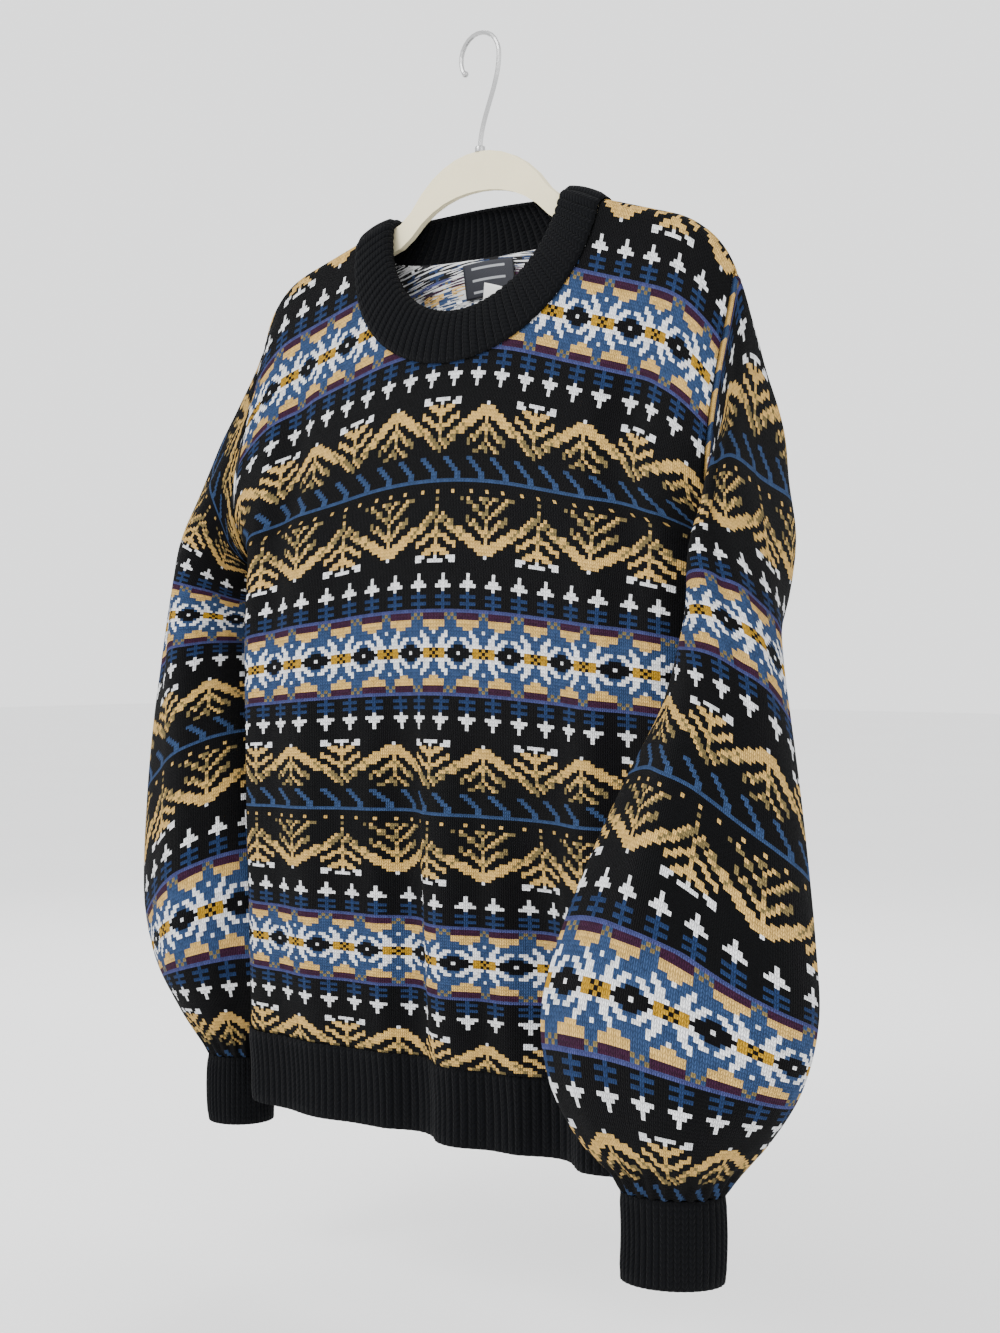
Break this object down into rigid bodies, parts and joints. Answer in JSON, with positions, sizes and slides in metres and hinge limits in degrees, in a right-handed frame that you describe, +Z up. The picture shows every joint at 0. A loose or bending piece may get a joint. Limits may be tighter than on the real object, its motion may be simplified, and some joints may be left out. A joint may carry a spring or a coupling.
{
  "type": "fair isle jumper on a hanger",
  "caption": "Knitted jumper with star and tree bands, ribbed neck, hem and cuffs, hung on a slim ivory hanger with a wire hook.",
  "frame": {"origin": "where the inside of the hook rests on its rail", "axes": "+Z up, -Y out of the front of the jumper, +X to the wearer's left"},
  "size_m": [0.7809, 0.2597, 0.933],
  "materials": {
    "knit": "matte knit",
    "rib": "matte rib knit",
    "label": "woven tape",
    "tag": "matte woven tape",
    "hanger": "matte flocked",
    "wire": "bright"
  },
  "bodies": {
    "root": {"front_panel": "knit", "back_panel": "knit", "sleeve_left": "knit", "sleeve_right": "knit", "neckband": "rib", "hem_rib": "rib", "cuff_left": "rib", "cuff_right": "rib", "neck_label": "label", "size_tag": "tag", "hanger": "hanger", "hook": "wire"}
  },
  "joints": []
}
